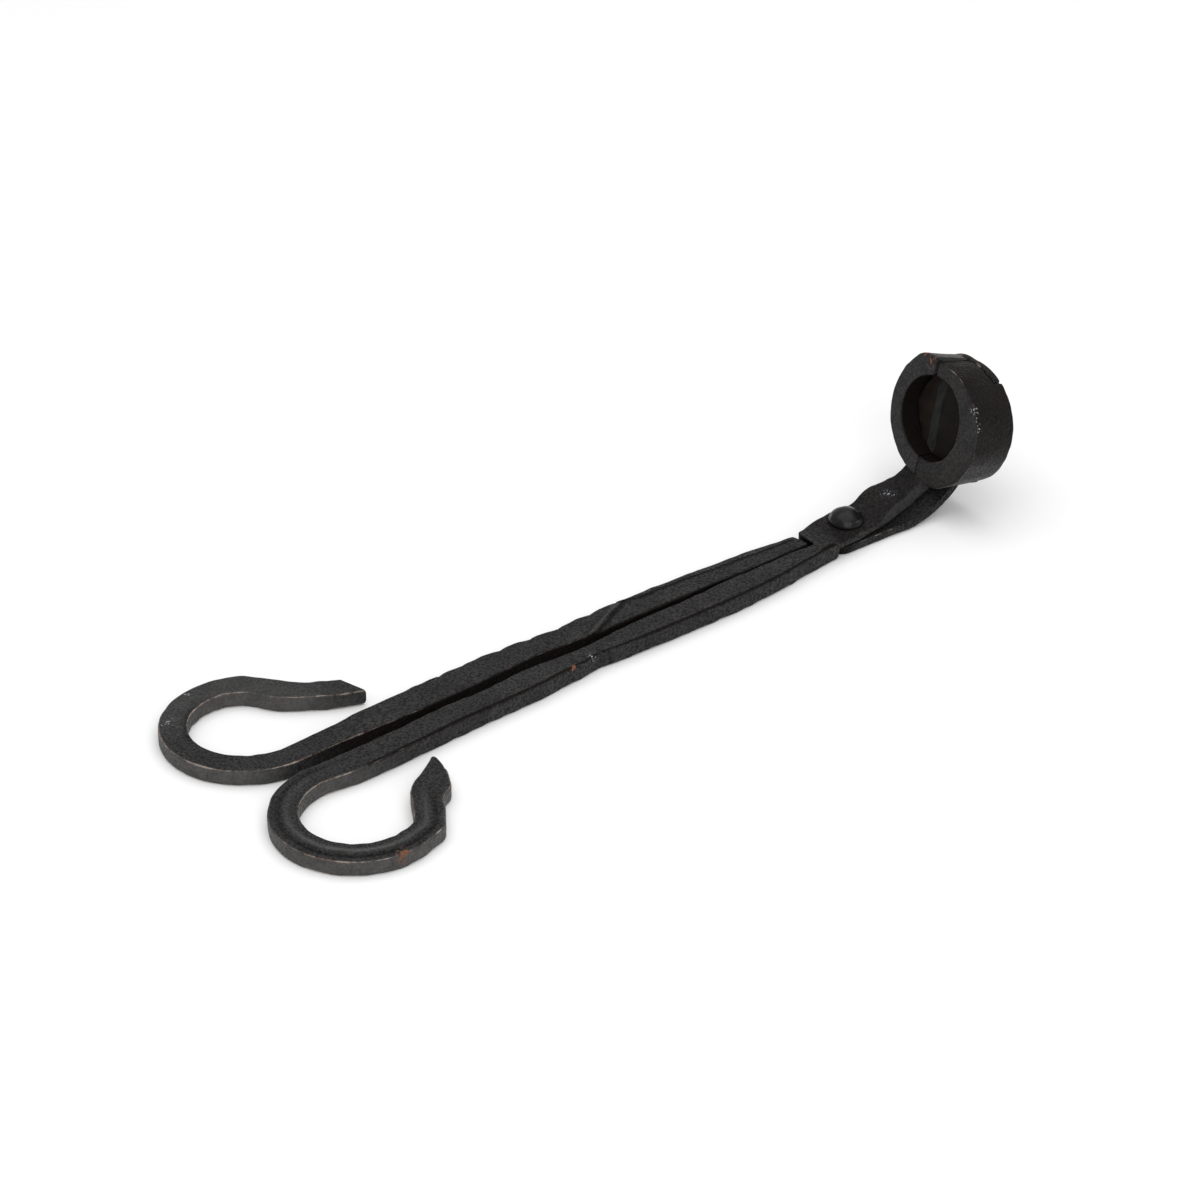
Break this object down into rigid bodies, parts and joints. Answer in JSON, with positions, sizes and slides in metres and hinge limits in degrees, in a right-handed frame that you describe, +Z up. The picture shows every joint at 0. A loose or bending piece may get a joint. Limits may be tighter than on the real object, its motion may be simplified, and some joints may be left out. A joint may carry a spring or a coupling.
{
  "type": "wick trimmer",
  "caption": "Forged scissor-type candle wick trimmer: crossed flat arms on a rivet, open finger loops, and a split round cup that holds the cutting blades.",
  "frame": {"origin": "on the rivet's axis, on the flat underside that lies on the table", "axes": "+X from the pivot to the cup, -X to the finger loops, +Y to the left when looking towards the cup, +Z up along the rivet"},
  "size_m": [0.1995, 0.0743, 0.0359],
  "materials": {
    "forged_iron": "hand forged, oil blackened and waxed, satin, worn to bare rusty iron on its edges",
    "rivet_iron": "hammered dome, burnished black",
    "blade_steel": "thin steel plate, brown with light rust, ground grey along the cutting edge"
  },
  "bodies": {
    "lower_half": {"lower_arm": "forged_iron", "pivot_rivet": "rivet_iron", "right_cup_half": "forged_iron", "right_blade": "blade_steel"},
    "upper_half": {"upper_arm": "forged_iron", "left_cup_half": "forged_iron", "left_blade": "blade_steel", "back_plate": "forged_iron"}
  },
  "joints": [
    {"name": "pivot", "type": "hinge", "parent": "lower_half", "child": "upper_half", "pos_m": [0, 0, 0], "axis": [0, 0, 1], "range_deg": [0, 45]}
  ]
}
